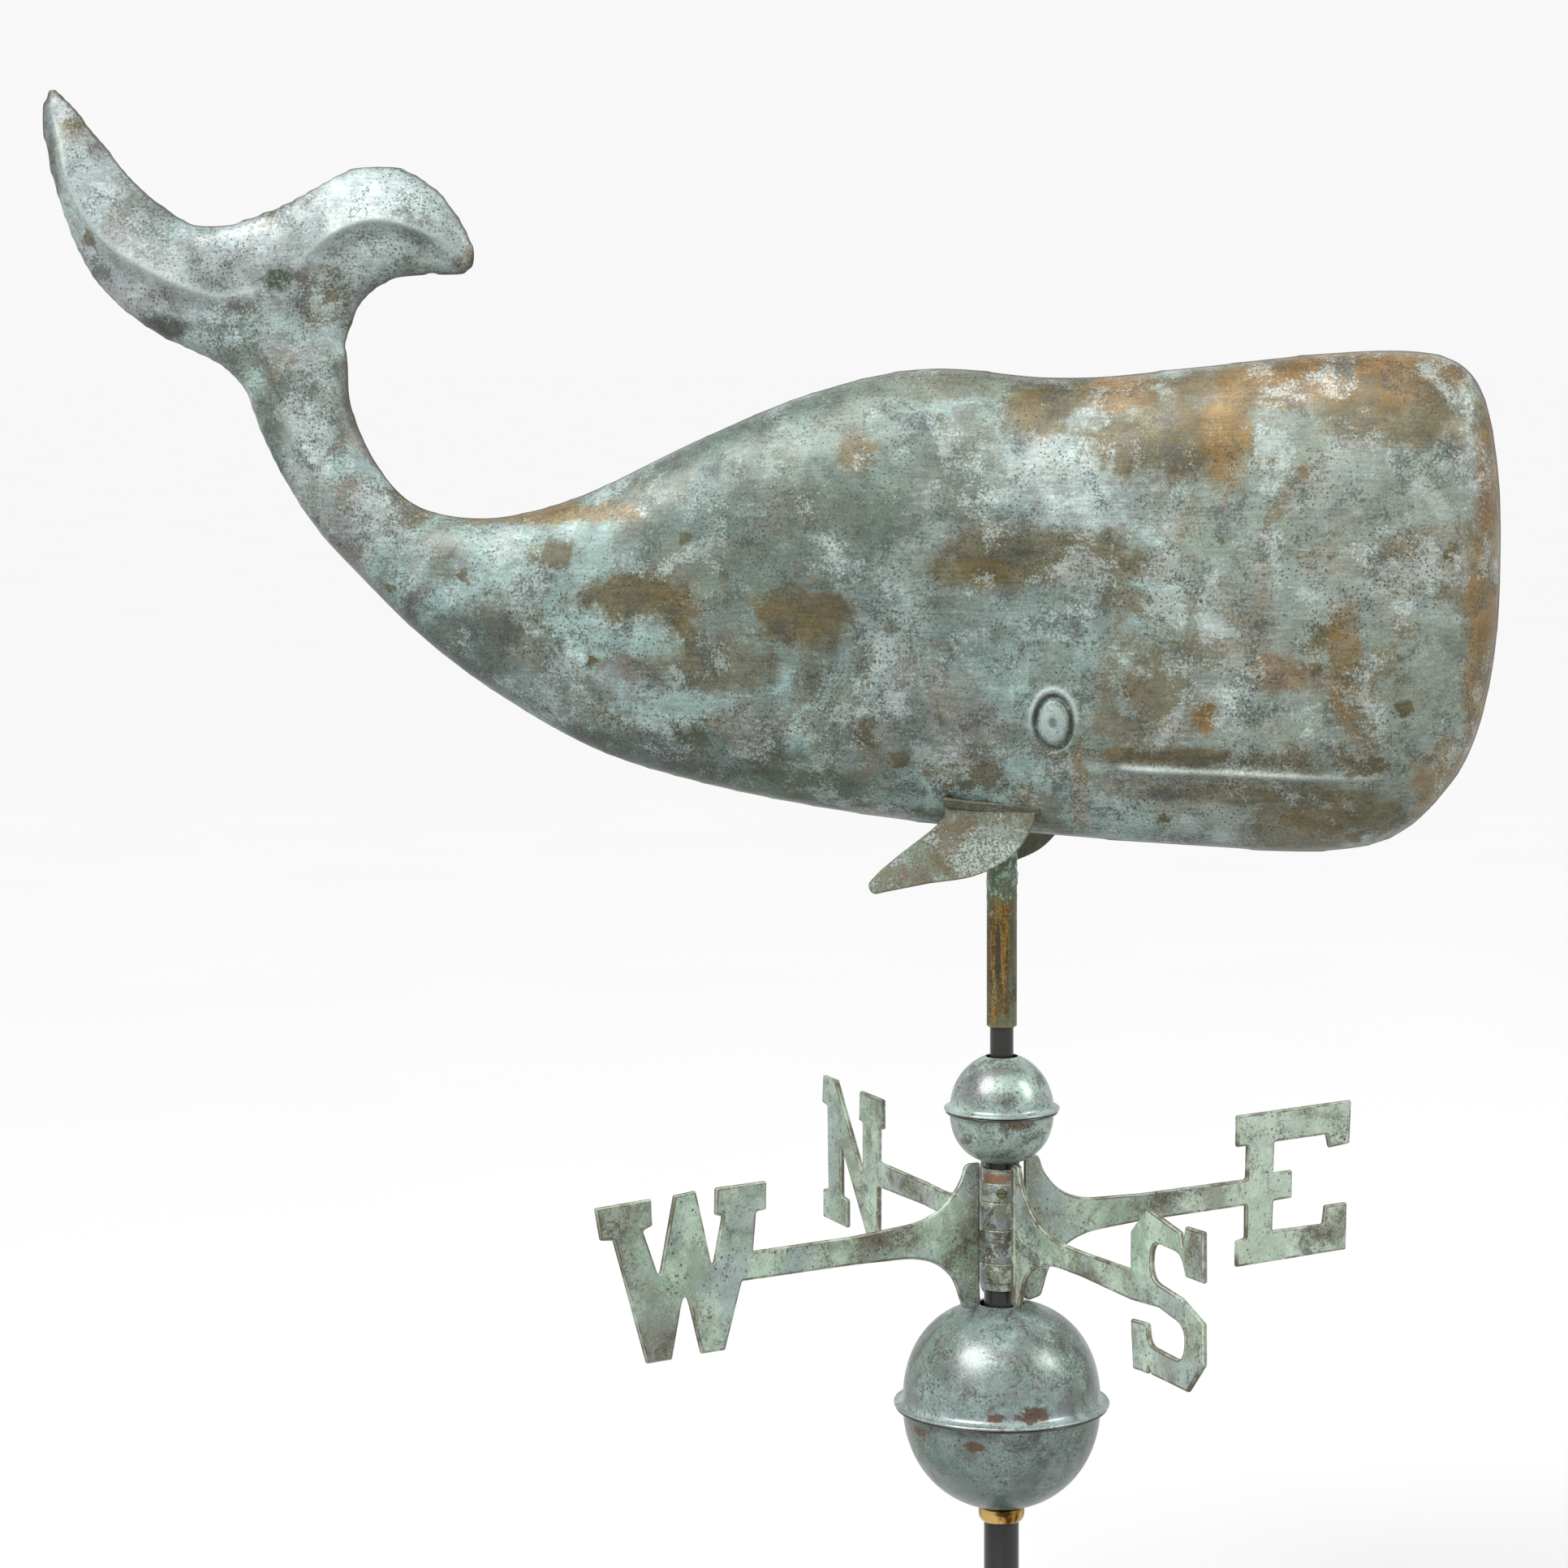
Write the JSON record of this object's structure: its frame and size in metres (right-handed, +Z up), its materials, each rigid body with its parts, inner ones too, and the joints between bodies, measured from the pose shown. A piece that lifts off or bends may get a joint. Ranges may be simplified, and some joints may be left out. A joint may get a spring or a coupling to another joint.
{
  "type": "weather vane",
  "caption": "Copper whale weather vane: the hollow figure turns on a steel rod over a small ball, two pairs of compass letter arms and a large ball.",
  "frame": {"origin": "centre of the flat foot of the lower rod", "axes": "+Z up along the rod, the pivot axis; +X towards the whale's nose at rest; -Y is the whale's right side"},
  "size_m": [0.7929, 0.3777, 0.9436],
  "materials": {
    "whale_patina": "sheet copper with a brushed blue-grey verdigris patina, brown where it is thin, under satin lacquer",
    "cast_patina": "cast brass with a mottled green verdigris patina, edges rubbed to brown",
    "ball_patina": "spun copper with a dark green-grey patina under satin lacquer",
    "aged_brass": "dull brown brass with green stains",
    "bright_brass": "polished",
    "black_steel": "semi-gloss black",
    "bright_steel": "ground"
  },
  "bodies": {
    "mast": {"lower_rod": "black_steel", "upper_rod": "black_steel", "bearing_ball": "bright_steel", "rod_collar": "bright_brass", "collar_set_screw": "bright_steel", "small_ball_top_shell": "ball_patina", "small_ball_bottom_shell": "ball_patina", "large_ball_top_shell": "ball_patina", "large_ball_bottom_shell": "ball_patina"},
    "ew_arms": {"ew_hub_sleeve": "aged_brass", "east_arm": "cast_patina", "west_arm": "cast_patina", "ew_set_screw": "aged_brass"},
    "ns_arms": {"ns_hub_sleeve": "aged_brass", "north_arm": "cast_patina", "south_arm": "cast_patina", "ns_set_screw": "aged_brass"},
    "figure": {"right_shell": "whale_patina", "left_shell": "whale_patina", "right_fin": "whale_patina", "left_fin": "whale_patina", "pivot_sleeve": "aged_brass", "sleeve_plug": "aged_brass", "belly_brace": "aged_brass", "back_brace": "aged_brass"}
  },
  "joints": [
    {"name": "figure_turn", "type": "hinge", "parent": "mast", "child": "figure", "pos_m": [0, 0, 0.5], "axis": [0, 0, 1], "continuous": true},
    {"name": "ew_turn", "type": "hinge", "parent": "mast", "child": "ew_arms", "pos_m": [0, 0, 0.31], "axis": [0, 0, 1], "continuous": true},
    {"name": "ns_turn", "type": "hinge", "parent": "ew_arms", "child": "ns_arms", "pos_m": [0, 0, 0.345], "axis": [0, 0, 1], "range_deg": [-60, 75]}
  ]
}
